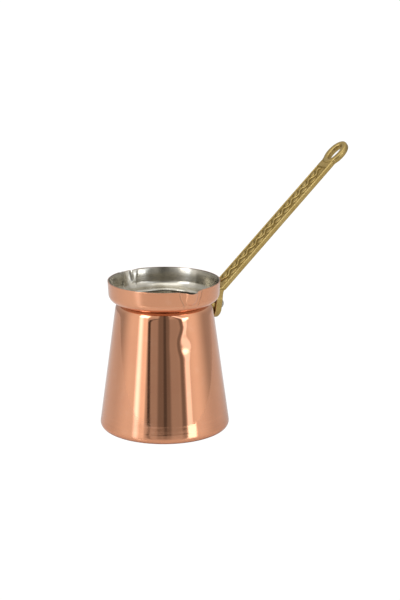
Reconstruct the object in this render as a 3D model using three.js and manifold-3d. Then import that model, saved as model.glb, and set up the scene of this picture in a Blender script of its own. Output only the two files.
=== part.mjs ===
// A copper coffee pot for brewing over a flame: a spun copper shell with two pouring spouts pressed into
// its collar, a tinned inside, and a cast brass handle held by two solid rivets.
// Frame: origin at the centre of the flat base, +Z up, handle towards +X, spouts near +Y and -Y.
// All lengths are millimetres and all angles degrees.

import * as THREE from "three";
import { mergeVertices } from "three/addons/utils/BufferGeometryUtils.js";
import Module from "manifold-3d";

// Pot shell, outer sizes
const POT_HEIGHT = 94.4;
const BASE_RADIUS = 40.6;
const BASE_CORNER = 3.4;
const NECK_RADIUS = 29.9;
const SHOULDER_RADIUS = 1.7;
const SHOULDER_TURN = 60;
const COLLAR_HEIGHT = 13.7;
const COLLAR_CURVE_HEIGHT = 7.3;
const RIM_RADIUS = 35;

// Sheet thicknesses
const COPPER_WALL = 1.2;
const TIN_THICKNESS = 0.25;
const TIN_GAP = 0.02;

// Spouts: V-shaped folds in the collar, one on each side of the handle
const SPOUT_AZIMUTH = 93.5;
const SPOUT_REACH = 3.0;
const SPOUT_DIP = 1.2;
const SPOUT_HALF_WIDTH = 7.6;
const SPOUT_FOOT_HALF_WIDTH = 4.6;
const SPOUT_FOOT_ABOVE_NECK = 1.2;

// Handle casting: a tang that stands behind the collar, a bend at its top, and a straight flat shank
const TANG_BELOW_NECK = 14.4;
const TANG_ABOVE_NECK = 4.6;
const TANG_WIDTH = 16;
const TANG_THICKNESS = 4.6;
const TANG_FOOT_THICKNESS = 3.7;
const TANG_CORNER = 5;
const TANG_WALL_GAP = 0.6;
const TANG_COLLAR_GAP = 0.35;
const BEND_LENGTH = 7;
const BEND_ROUND = 1.2;
const SHANK_START_OUT = 6.5;
const SHANK_ELEVATION = 40.2;
const SHANK_LENGTH = 111;
const SHANK_WIDTH = 10.5;
const SHANK_THICKNESS = 3.4;
const SHANK_EDGE = 0.9;

// Hanging eye at the handle's end
const EYE_LENGTH = 19;
const EYE_WIDTH = 14.6;
const EYE_THICKNESS = 3.6;
const EYE_EDGE = 1.2;
const EYE_HOLE_LENGTH = 12.4;
const EYE_HOLE_WIDTH = 5.8;
const EYE_TIP_WALL = 3.8;
const EYE_OVERLAP = 3;

// Rivets
const RIVET_SPACING = 8.4;
const RIVET_BELOW_TANG_TOP = 10.1;
const RIVET_SHANK_RADIUS = 1.8;
const RIVET_HEAD_RADIUS = 3.4;
const RIVET_HEAD_HEIGHT = 2.5;
const RIVET_TAIL_RADIUS = 2.8;
const RIVET_TAIL_HEIGHT = 1.4;
const RIVET_CLEARANCE = 0.15;
const BOSS_RADIUS = 2.9;
const SEAT_GAP = 0.3;

// Facets
const RING_STEP = 10;
const SPOUT_STEPS = 5;
const ROUND_SIDES = 20;
const OUTLINE_SEGMENTS = 8;

const radians = THREE.MathUtils.degToRad;
const neckZ = POT_HEIGHT - COLLAR_HEIGHT;

// The corner arc turns from the flat base up to the cone, whose line passes through the neck.
const cornerCentre = new THREE.Vector2(BASE_RADIUS - BASE_CORNER, BASE_CORNER);
const towardsNeck = new THREE.Vector2(NECK_RADIUS, neckZ).sub(cornerCentre);
const coneNormal = Math.atan2(towardsNeck.y, towardsNeck.x) - Math.acos(BASE_CORNER / towardsNeck.length());
const coneFoot = new THREE.Vector2(Math.cos(coneNormal), Math.sin(coneNormal))
  .multiplyScalar(BASE_CORNER)
  .add(cornerCentre);
const coneSlope = Math.tan(coneNormal);

// Outer radius of the cone at a height.
function coneRadius(z) {
  return coneFoot.x - (z - coneFoot.y) * coneSlope;
}

// Samples of a round stretch of the outer profile, each a point and the direction of its outward normal.
function arcSamples(centre, radiusX, radiusY, fromAngle, toAngle, steps) {
  return Array.from({ length: steps + 1 }, (_, i) => {
    const angle = fromAngle + ((toAngle - fromAngle) * i) / steps;
    const normal = Math.atan2(Math.sin(angle) / radiusY, Math.cos(angle) / radiusX);
    return {
      x: centre.x + radiusX * Math.cos(angle),
      z: centre.y + radiusY * Math.sin(angle),
      normal,
    };
  });
}

// The outer profile from the base's centre to the rim.
function outerProfile() {
  const shoulderTurn = radians(SHOULDER_TURN);
  const shoulderRise = SHOULDER_RADIUS * (Math.sin(shoulderTurn) - Math.sin(coneNormal));
  const shoulderFootZ = neckZ - shoulderRise;
  const shoulderCentre = new THREE.Vector2(
    coneRadius(shoulderFootZ) - SHOULDER_RADIUS * Math.cos(coneNormal),
    shoulderFootZ - SHOULDER_RADIUS * Math.sin(coneNormal),
  );
  const creaseRadius = shoulderCentre.x + SHOULDER_RADIUS * Math.cos(shoulderTurn);
  const down = -Math.PI / 2;
  const collarFootZ = neckZ + COLLAR_CURVE_HEIGHT;
  const collarCentre = new THREE.Vector2(creaseRadius, collarFootZ);
  const crease = { x: creaseRadius, z: neckZ };
  // Where the wall folds, samples at one point turn from one normal to the next.
  const creaseTurn = [0.25, 0.5, 0.75].map((share) => ({
    ...crease,
    normal: shoulderTurn + (down - shoulderTurn) * share,
  }));
  const collarWallSteps = [0.5, 1];
  return [
    { x: 0, z: 0, normal: down },
    ...arcSamples(cornerCentre, BASE_CORNER, BASE_CORNER, down, coneNormal, 3),
    ...arcSamples(shoulderCentre, SHOULDER_RADIUS, SHOULDER_RADIUS, coneNormal, shoulderTurn, 2),
    ...creaseTurn,
    ...arcSamples(collarCentre, RIM_RADIUS - creaseRadius, COLLAR_CURVE_HEIGHT, down, 0, 4),
    ...collarWallSteps.map((share) => ({
      x: RIM_RADIUS,
      z: collarFootZ + (POT_HEIGHT - collarFootZ) * share,
      normal: 0,
    })),
  ];
}

// The profile moved inwards by a depth, with points that fall together kept once.
function insetProfile(samples, depth) {
  const moved = samples.map(({ x, z, normal }) => {
    const onAxis = x === 0;
    return new THREE.Vector2(onAxis ? 0 : x - depth * Math.cos(normal), z - depth * Math.sin(normal));
  });
  return moved.filter((p, i) => i === 0 || p.distanceTo(moved[i - 1]) > 1e-3);
}

// Angles round the pot, closer together across each spout.
function ringAngles() {
  const spoutAngle = (SPOUT_HALF_WIDTH / RIM_RADIUS) * (180 / Math.PI);
  const spouts = [SPOUT_AZIMUTH, -SPOUT_AZIMUTH];
  const clear = (angle) => spouts.every((s) => Math.abs(angle - s) > spoutAngle + RING_STEP / 3);
  const even = Array.from({ length: 360 / RING_STEP }, (_, i) => i * RING_STEP - 180);
  const steps = Array.from({ length: 2 * SPOUT_STEPS + 1 }, (_, i) => (i / SPOUT_STEPS - 1) * spoutAngle);
  const fine = spouts.flatMap((s) => steps.map((step) => s + step));
  return [...even.filter(clear), ...fine].sort((a, b) => a - b).map(radians);
}

// How far a spout pushes the wall outwards and down at an angle and a height.
function spoutPush(angle, z) {
  const footZ = neckZ + SPOUT_FOOT_ABOVE_NECK;
  const rise = THREE.MathUtils.clamp((z - footZ) / (POT_HEIGHT - footZ), 0, 1);
  const halfWidth = THREE.MathUtils.lerp(SPOUT_FOOT_HALF_WIDTH, SPOUT_HALF_WIDTH, rise);
  const off = Math.abs(Math.abs(angle) - radians(SPOUT_AZIMUTH)) * RIM_RADIUS;
  const fold = Math.max(0, 1 - off / halfWidth);
  return { out: SPOUT_REACH * rise * fold, down: SPOUT_DIP * rise * rise * fold };
}

// A closed shell of revolution between two profiles that both start on the axis, with the spouts pressed in.
function revolvedShell(outer, inner) {
  const angles = ringAngles();
  const loop = [...outer.slice(1), ...inner.slice(1).reverse()];
  const positions = [0, 0, outer[0].y, 0, 0, inner[0].y];
  for (const angle of angles)
    for (const { x, y: z } of loop) {
      const push = spoutPush(angle, z);
      positions.push((x + push.out) * Math.cos(angle), (x + push.out) * Math.sin(angle), z - push.down);
    }
  const index = [];
  const at = (ring, i) => 2 + (ring % angles.length) * loop.length + i;
  for (let ring = 0; ring < angles.length; ring++) {
    index.push(0, at(ring + 1, 0), at(ring, 0));
    index.push(1, at(ring, loop.length - 1), at(ring + 1, loop.length - 1));
    for (let i = 0; i + 1 < loop.length; i++) {
      const quad = [at(ring, i), at(ring + 1, i), at(ring + 1, i + 1), at(ring, i + 1)];
      // Inside and outside are cut along the same diagonals, so nested shells stay clear of each other.
      if (i >= outer.length - 1) quad.push(quad.shift());
      index.push(quad[0], quad[1], quad[2], quad[0], quad[2], quad[3]);
    }
  }
  return new THREE.BufferGeometry()
    .setAttribute("position", new THREE.Float32BufferAttribute(positions, 3))
    .setIndex(index);
}

// Handle layout in the plane of the handle, x outwards and z up. The tang's back is a straight line from
// just off the cone at its foot to just off the collar's widest place at its top.
const tangFootZ = neckZ - TANG_BELOW_NECK;
const tangFoot = new THREE.Vector3(coneRadius(tangFootZ) + TANG_WALL_GAP, 0, tangFootZ);
const tangTop = new THREE.Vector3(RIM_RADIUS + TANG_COLLAR_GAP, 0, neckZ + TANG_ABOVE_NECK);
const tangLength = tangTop.distanceTo(tangFoot);
const tangUp = tangTop.clone().sub(tangFoot).normalize();
const tangOut = new THREE.Vector3(tangUp.z, 0, -tangUp.x);
const shankOut = new THREE.Vector3(Math.cos(radians(SHANK_ELEVATION)), 0, Math.sin(radians(SHANK_ELEVATION)));
const shankUp = new THREE.Vector3(-shankOut.z, 0, shankOut.x);
const shankStart = tangTop.clone().addScaledVector(tangOut, SHANK_START_OUT);
const shankEnd = shankStart.clone().addScaledVector(shankOut, SHANK_LENGTH);

// One cross-section of the casting, from its back to its front, and how wide it is.
function section(back, front, width) {
  const thicknessWay = front.clone().sub(back);
  const thickness = thicknessWay.length();
  return { centre: back.clone().lerp(front, 0.5), thicknessWay: thicknessWay.normalize(), width, thickness };
}

// A section across the tang at a height above its foot.
function tangSection(up, width, thickness) {
  const back = tangFoot.clone().addScaledVector(tangUp, up);
  return section(back, back.clone().addScaledVector(tangOut, thickness), width);
}

// Sections up the tang: rounded corners at the foot, full width at the rivets, and the flare to the bend.
function tangSections() {
  const foot = [0.1, 0.35, 0.65, 1].map((share) => {
    const inset = TANG_CORNER * (1 - Math.sqrt(1 - (1 - share) ** 2));
    const thickness = THREE.MathUtils.lerp(TANG_FOOT_THICKNESS, TANG_THICKNESS, share);
    return tangSection(TANG_CORNER * share, TANG_WIDTH - 2 * inset, thickness);
  });
  const underside = shankStart.clone().addScaledVector(shankUp, -SHANK_THICKNESS / 2).sub(tangTop);
  const flareThickness = underside.dot(tangOut);
  const flare = [0, 0.3, 0.6, 0.8].map((share) => {
    const eased = THREE.MathUtils.smoothstep(share, 0, 1);
    const width = THREE.MathUtils.lerp(TANG_WIDTH, SHANK_WIDTH, eased);
    const thickness = THREE.MathUtils.lerp(TANG_THICKNESS, flareThickness, share ** 2);
    return tangSection(tangLength - BEND_LENGTH * (1 - share), width, thickness);
  });
  return [...foot, ...flare];
}

// Sections that turn the casting from the tang's top into the shank.
function bendSections() {
  const underside = shankStart.clone().addScaledVector(shankUp, -SHANK_THICKNESS / 2);
  const turned = tangTop.clone().addScaledVector(tangOut, BEND_ROUND);
  const lowFront = underside.clone().addScaledVector(shankOut, -BEND_ROUND / 2);
  const lowBack = tangTop.clone().addScaledVector(tangUp, -BEND_ROUND);
  return [section(lowBack, lowFront, SHANK_WIDTH), section(turned, underside, SHANK_WIDTH)];
}

// Sections at both ends of the straight shank.
function shankSections() {
  return [shankStart.clone().addScaledVector(shankOut, BEND_ROUND / 2), shankEnd].map((centre) =>
    section(
      centre.clone().addScaledVector(shankUp, SHANK_THICKNESS / 2),
      centre.clone().addScaledVector(shankUp, -SHANK_THICKNESS / 2),
      SHANK_WIDTH,
    ),
  );
}

// A closed loft through sections, each a rectangle with its four edges cut.
function loft(sections) {
  const corners = [
    [1, 1],
    [1, -1],
    [-1, -1],
    [-1, 1],
  ];
  const rings = sections.map(({ centre, thicknessWay, width, thickness }) => {
    const edge = Math.min(SHANK_EDGE, width / 4);
    return corners.flatMap(([side, face], i) => {
      const wide = { y: (side * width) / 2, t: face * (thickness / 2 - edge) };
      const thick = { y: side * (width / 2 - edge), t: (face * thickness) / 2 };
      return (i % 2 === 0 ? [thick, wide] : [wide, thick]).map(({ y, t }) =>
        centre.clone().addScaledVector(thicknessWay, t).add(new THREE.Vector3(0, y, 0)),
      );
    });
  });
  const sides = rings[0].length;
  const points = [...rings.flat(), sections[0].centre, sections.at(-1).centre];
  const first = points.length - 2;
  const last = points.length - 1;
  const index = [];
  for (let i = 0; i < sides; i++) {
    const next = (i + 1) % sides;
    for (let ring = 0; ring + 1 < rings.length; ring++) {
      const [a, b] = [ring * sides, (ring + 1) * sides];
      index.push(a + i, a + next, b + next, a + i, b + next, b + i);
    }
    const end = (rings.length - 1) * sides;
    index.push(first, next, i, last, end + i, end + next);
  }
  return new THREE.BufferGeometry().setFromPoints(points).setIndex(index);
}

// The eye: a teardrop plate with rounded edges and a long hole, lying along the shank's end.
function eyeGeometry() {
  const halfWidth = EYE_WIDTH / 2 - EYE_EDGE;
  const neckHalf = SHANK_WIDTH / 2 - EYE_EDGE;
  const tip = EYE_LENGTH - EYE_EDGE;
  const widest = tip - halfWidth;
  const outline = new THREE.Shape()
    .moveTo(-EYE_OVERLAP, -neckHalf)
    .lineTo(0, -neckHalf)
    .bezierCurveTo(widest * 0.3, -neckHalf, widest * 0.5, -halfWidth, widest, -halfWidth)
    .absarc(widest, 0, halfWidth, -Math.PI / 2, Math.PI / 2, false)
    .bezierCurveTo(widest * 0.5, halfWidth, widest * 0.3, neckHalf, 0, neckHalf)
    .lineTo(-EYE_OVERLAP, neckHalf);
  const holeHalfLength = EYE_HOLE_LENGTH / 2 + EYE_EDGE;
  const holeHalfWidth = EYE_HOLE_WIDTH / 2 + EYE_EDGE;
  const holeCentre = EYE_LENGTH - EYE_TIP_WALL - EYE_HOLE_LENGTH / 2;
  const hole = new THREE.Path().absellipse(holeCentre, 0, holeHalfLength, holeHalfWidth, 0, 2 * Math.PI, true);
  outline.holes.push(hole);
  const geometry = new THREE.ExtrudeGeometry(outline, {
    depth: EYE_THICKNESS - 2 * EYE_EDGE,
    bevelThickness: EYE_EDGE,
    bevelSize: EYE_EDGE,
    bevelSegments: 2,
    curveSegments: OUTLINE_SEGMENTS,
  });
  geometry.translate(0, 0, EYE_EDGE - EYE_THICKNESS / 2);
  const frame = new THREE.Matrix4()
    .makeBasis(shankOut, new THREE.Vector3(0, 1, 0), shankUp)
    .setPosition(shankEnd);
  return geometry.applyMatrix4(frame);
}

// The middle of a rivet's seat on the tang's outer face.
function rivetSeat(side) {
  return tangTop
    .clone()
    .addScaledVector(tangUp, -RIVET_BELOW_TANG_TOP)
    .addScaledVector(tangOut, TANG_THICKNESS)
    .setY((side * RIVET_SPACING) / 2);
}

// Turns a shape made along +Y, the axis of three.js cylinders and lathes, to point another way and moves
// its origin to a place.
function placed(geometry, place, way) {
  const turn = new THREE.Quaternion().setFromUnitVectors(new THREE.Vector3(0, 1, 0), way);
  return geometry.applyMatrix4(new THREE.Matrix4().compose(place, turn, new THREE.Vector3(1, 1, 1)));
}

// A level cylinder on a rivet's axis, from one distance outside the middle of its seat to another.
function rivetCylinder(radius, from, to, side) {
  const cylinder = new THREE.CylinderGeometry(radius, radius, to - from, ROUND_SIDES);
  return placed(cylinder.translate(0, (from + to) / 2, 0), rivetSeat(side), new THREE.Vector3(1, 0, 0));
}

// A rivet's domed head, square to the tang's outer face.
function rivetHead(side) {
  const dome = new THREE.EllipseCurve(0, 0, RIVET_HEAD_RADIUS, RIVET_HEAD_HEIGHT, 0, Math.PI / 2).getPoints(4);
  dome[dome.length - 1].x = 0;
  const profile = [new THREE.Vector2(0, 0), ...dome];
  profile.forEach((p) => (p.y += SEAT_GAP));
  return placed(new THREE.LatheGeometry(profile, ROUND_SIDES), rivetSeat(side), tangOut);
}

// How far inwards along a rivet's level axis the pot's wall lies from the middle of its seat.
function depthToWall(side) {
  const seat = rivetSeat(side);
  return seat.x - Math.sqrt(coneRadius(seat.z) ** 2 - seat.y ** 2);
}

const wasm = await Module();
wasm.setup();

// A closed three.js geometry as a manifold solid.
function solid(geometry) {
  const bare = geometry.clone();
  bare.deleteAttribute("normal");
  bare.deleteAttribute("uv");
  const merged = mergeVertices(bare, 1e-3);
  return new wasm.Manifold(
    new wasm.Mesh({
      numProp: 3,
      vertProperties: merged.attributes.position.array,
      triVerts: new Uint32Array(merged.index.array),
    }),
  );
}

// A manifold solid as a three.js geometry.
function geometryOf(made) {
  const mesh = made.getMesh();
  return new THREE.BufferGeometry()
    .setAttribute("position", new THREE.BufferAttribute(mesh.vertProperties, 3))
    .setIndex(new THREE.BufferAttribute(mesh.triVerts, 1));
}

// A solid frustum that follows the pot's cone, moved outwards by a distance.
function coneSolid(outwards) {
  const shift = outwards / Math.cos(coneNormal);
  const [bottomZ, topZ] = [tangFootZ, neckZ + SHOULDER_RADIUS];
  const frustum = new THREE.CylinderGeometry(
    coneRadius(topZ) + shift,
    coneRadius(bottomZ) + shift,
    topZ - bottomZ,
    2 * ROUND_SIDES,
  );
  frustum.rotateX(Math.PI / 2).translate(0, 0, (bottomZ + topZ) / 2);
  return solid(frustum);
}

const sides = [-1, 1];
const wallAndLining = COPPER_WALL + TIN_GAP + TIN_THICKNESS;
const boreReach = depthToWall(1) + 2 * wallAndLining + RIVET_TAIL_HEIGHT;
const rivetBores = sides.map((side) =>
  solid(rivetCylinder(RIVET_SHANK_RADIUS + RIVET_CLEARANCE, -boreReach, RIVET_HEAD_HEIGHT, side)),
);

// The copper shell, or the tin inside it, with the two rivet holes through it.
function shellGeometry(outerDepth, innerDepth) {
  const profile = outerProfile();
  const shell = solid(revolvedShell(insetProfile(profile, outerDepth), insetProfile(profile, innerDepth)));
  return geometryOf(rivetBores.reduce((made, bore) => made.subtract(bore), shell));
}

// The handle casting: tang, bend and shank in one loft, the eye, and a boss behind each rivet that seats
// on the pot's wall.
function handleGeometry() {
  const bar = solid(loft([...tangSections(), ...bendSections(), ...shankSections()]));
  const seat = coneSolid(SEAT_GAP);
  const bosses = sides.map((side) =>
    solid(rivetCylinder(BOSS_RADIUS, -boreReach, -TANG_THICKNESS / 2, side)).subtract(seat),
  );
  const body = bosses.reduce((made, boss) => made.add(boss), bar.add(solid(eyeGeometry())));
  return geometryOf(rivetBores.reduce((made, bore) => made.subtract(bore), body));
}

// A rivet: domed head on the tang, level shank through tang, boss and wall, and a tail hammered round
// inside, square to the wall.
function rivetGeometry(side) {
  const tailDepth = wallAndLining + SEAT_GAP;
  const exitAt = -depthToWall(side) - tailDepth;
  const exit = rivetSeat(side).setX(rivetSeat(side).x + exitAt);
  const azimuth = Math.atan2(exit.y, exit.x);
  const acrossWall = Math.cos(coneNormal);
  const wallNormal = new THREE.Vector3(
    acrossWall * Math.cos(azimuth),
    acrossWall * Math.sin(azimuth),
    Math.sin(coneNormal),
  );
  const button = new THREE.SphereGeometry(RIVET_TAIL_RADIUS, ROUND_SIDES, 8);
  button.scale(1, RIVET_TAIL_HEIGHT / RIVET_TAIL_RADIUS, 1);
  const tail = solid(placed(button, exit, wallNormal)).intersect(coneSolid(-tailDepth));
  const shank = rivetCylinder(RIVET_SHANK_RADIUS, exitAt, SEAT_GAP + RIVET_HEAD_HEIGHT / 2, side);
  return geometryOf(solid(rivetHead(side)).add(solid(shank)).add(tail));
}

const copper = new THREE.MeshStandardMaterial({ color: 0xc98a66, roughness: 0.16, metalness: 1 });
const tin = new THREE.MeshStandardMaterial({ color: 0xb9b6ab, roughness: 0.28, metalness: 1 });
const brass = new THREE.MeshStandardMaterial({ color: 0xb59a55, roughness: 0.32, metalness: 1 });
const steel = new THREE.MeshStandardMaterial({ color: 0x9c9a94, roughness: 0.35, metalness: 1 });

const pot = new THREE.Group();

// Adds one named piece to the pot.
function addPiece(name, geometry, material) {
  geometry.computeVertexNormals();
  const mesh = new THREE.Mesh(geometry, material);
  mesh.name = name;
  pot.add(mesh);
}

const tinOuterDepth = COPPER_WALL + TIN_GAP;
addPiece("copper_body", shellGeometry(0, COPPER_WALL), copper);
addPiece("tin_lining", shellGeometry(tinOuterDepth, tinOuterDepth + TIN_THICKNESS), tin);
addPiece("handle", handleGeometry(), brass);
addPiece("rivet_left", rivetGeometry(-1), steel);
addPiece("rivet_right", rivetGeometry(1), steel);

export default pot;
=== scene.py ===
"""A tinned copper coffee pot with a cast brass handle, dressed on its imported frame.

The pot stands on its flat base at the origin, +Z up, its handle towards +X and its two pouring spouts near
+Y and -Y. Sizes are in millimetres and are turned into metres where a mesh is made.
"""

from __future__ import annotations

import logging
import math
from collections.abc import Callable, Iterator, Sequence
from contextlib import contextmanager
from dataclasses import dataclass
from enum import Enum

import bmesh
import bpy
import numpy as np
from mathutils import Matrix, Vector, noise


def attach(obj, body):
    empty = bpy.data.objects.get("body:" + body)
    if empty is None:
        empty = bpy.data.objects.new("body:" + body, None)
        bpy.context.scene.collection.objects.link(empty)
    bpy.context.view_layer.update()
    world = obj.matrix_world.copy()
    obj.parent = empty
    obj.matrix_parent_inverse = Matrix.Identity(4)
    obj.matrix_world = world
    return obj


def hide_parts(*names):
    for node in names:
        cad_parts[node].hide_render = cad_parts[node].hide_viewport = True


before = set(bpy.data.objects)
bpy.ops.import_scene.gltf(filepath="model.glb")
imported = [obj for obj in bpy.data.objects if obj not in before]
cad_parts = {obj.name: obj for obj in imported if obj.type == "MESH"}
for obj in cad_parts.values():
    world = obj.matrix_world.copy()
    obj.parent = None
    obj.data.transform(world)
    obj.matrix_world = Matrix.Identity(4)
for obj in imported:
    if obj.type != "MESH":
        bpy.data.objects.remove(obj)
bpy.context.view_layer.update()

MM = 0.001
RELIEF = "relief"
LINES_BREAK = 1.3  # how often a lathe line changes on its way round
SHELL_STEPS = 240
SHELL_ANGLE = 50
CAST_ANGLE = 60
log = logging.getLogger("coffee_pot")

Piece = bpy.types.Object
Socket = bpy.types.NodeSocket
Colour = tuple[float, float, float, float]
Point2 = tuple[float, float]
Point3 = tuple[float, float, float]
Sample = tuple[float, float, float]


class Slot(Enum):
    """The record's material slots."""

    COPPER = "copper"
    TIN = "tin"
    BRASS = "cast_brass"
    STEEL = "rivet_steel"


class Side(Enum):
    """The two sides of the handle's plane."""

    LEFT = -1
    RIGHT = 1


# ---------------------------------------------------------------- edit-mode tools


def clear_selection() -> None:
    """Leave edit mode and deselect every object."""
    if bpy.context.mode != "OBJECT":
        bpy.ops.object.mode_set(mode="OBJECT")
    bpy.ops.object.select_all(action="DESELECT")


def pick(*pieces: Piece) -> None:
    """Make objects the only selected ones and the first of them the active one."""
    clear_selection()
    for piece in pieces:
        piece.select_set(True)
    bpy.context.view_layer.objects.active = pieces[0]


@contextmanager
def editing(everything: bool = False) -> Iterator[None]:
    """Work on the active mesh in edit mode, and go back to object mode.

    Args:
        everything: Whether all of it is selected first.

    Yields:
        Nothing.
    """
    bpy.ops.object.mode_set(mode="EDIT")
    if everything:
        bpy.ops.mesh.select_all(action="SELECT")
    yield
    bpy.ops.object.mode_set(mode="OBJECT")


def named(name: str) -> Piece:
    """Name the object that has just been added, and its mesh.

    Args:
        name: The piece's name.

    Returns:
        The named object.
    """
    piece = bpy.context.object
    piece.name = piece.data.name = name
    return piece


def apply_place(piece: Piece) -> Piece:
    """Move an object's place, turn and scale into its mesh."""
    pick(piece)
    bpy.ops.object.transform_apply(location=True, rotation=True, scale=True)
    return piece


def add_modifier(piece: Piece, kind: str, **settings: object) -> None:
    """Add a modifier, set it and apply it.

    Args:
        piece: The object that gets it.
        kind: The modifier's type.
        settings: Its properties by name.
    """
    pick(piece)
    modifier = piece.modifiers.new(kind.title(), kind)
    for name, value in settings.items():
        setattr(modifier, name, value)
    bpy.ops.object.modifier_apply(modifier=modifier.name)


def join(pieces: Sequence[Piece]) -> Piece:
    """Join objects into the first one.

    Args:
        pieces: The objects, the first of which keeps its name.

    Returns:
        The joined object.
    """
    pick(*pieces)
    bpy.ops.object.join()
    return bpy.context.object


def copy_of(piece: Piece, name: str) -> Piece:
    """Copy an object with a mesh of its own.

    Args:
        piece: The object to copy.
        name: The copy's name.

    Returns:
        The copy.
    """
    pick(piece)
    bpy.ops.object.duplicate(linked=False)
    return named(name)


def spin_profile(name: str, profile: Sequence[Point2], steps: int) -> Piece:
    """Draw a closed profile one vertex after another and turn it round the Z axis.

    Args:
        name: The new object's name.
        profile: Radius and height of each corner in millimetres, round the section.
        steps: How many steps make the full turn.

    Returns:
        The closed solid of revolution.
    """
    clear_selection()
    bpy.ops.mesh.primitive_plane_add(size=MM)
    piece = named(name)
    with editing():
        bpy.ops.mesh.merge(type="CENTER")
        start = profile[0]
        bpy.ops.transform.translate(value=(start[0] * MM, 0, start[1] * MM))
        for (r0, z0), (r1, z1) in zip(profile, profile[1:]):
            step = {"value": ((r1 - r0) * MM, 0, (z1 - z0) * MM)}
            bpy.ops.mesh.extrude_vertices_move(TRANSFORM_OT_translate=step)
    turns = {"axis": "Z", "angle": math.tau, "steps": steps, "render_steps": steps}
    add_modifier(piece, "SCREW", use_merge_vertices=True, merge_threshold=0.002 * MM, **turns)
    with editing(everything=True):
        bpy.ops.mesh.normals_make_consistent(inside=False)
    return piece


def smooth(piece: Piece, angle: float) -> None:
    """Shade a piece smooth except where its faces meet at more than an angle in degrees."""
    pick(piece)
    bpy.ops.object.shade_smooth_by_angle(angle=math.radians(angle))


def bevel(piece: Piece, width: float, segments: int, angle: float) -> None:
    """Round the edges that are sharper than an angle in degrees, by a width in millimetres."""
    limit = math.radians(angle)
    add_modifier(piece, "BEVEL", width=width * MM, segments=segments, limit_method="ANGLE", angle_limit=limit)


def fuse(piece: Piece, voxel: float, rounds: int) -> None:
    """Fuse a piece's shells into one solid skin and smooth it."""
    add_modifier(piece, "REMESH", mode="VOXEL", voxel_size=voxel * MM, adaptivity=0.0)
    add_modifier(piece, "SMOOTH", factor=0.5, iterations=rounds)


def facing(way: Vector) -> Matrix:
    """The turn that points Z a way."""
    return way.to_track_quat("Z", "Y").to_matrix().to_4x4()


def move_vertices(piece: Piece, shift: Callable[[Vector], Vector]) -> None:
    """Press a mesh to shape by moving each vertex.

    Args:
        piece: The piece to press.
        shift: Gives a vertex's new place in millimetres from its old one.
    """
    for vertex in piece.data.vertices:
        vertex.co = shift(vertex.co / MM) * MM
    piece.data.update()


def ride_root(piece: Piece, slot: Slot, *nodes: str) -> None:
    """Hang a piece on the pot's one body in the place of its CAD nodes.

    Args:
        piece: The finished piece.
        slot: Not used.
        nodes: The CAD nodes that it stands for.
    """
    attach(piece, "root")
    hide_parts(*nodes)
    log.info("%s: %d faces, for %s", piece.name, len(piece.data.polygons), ", ".join(nodes))


# ---------------------------------------------------------------- finishes


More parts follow.
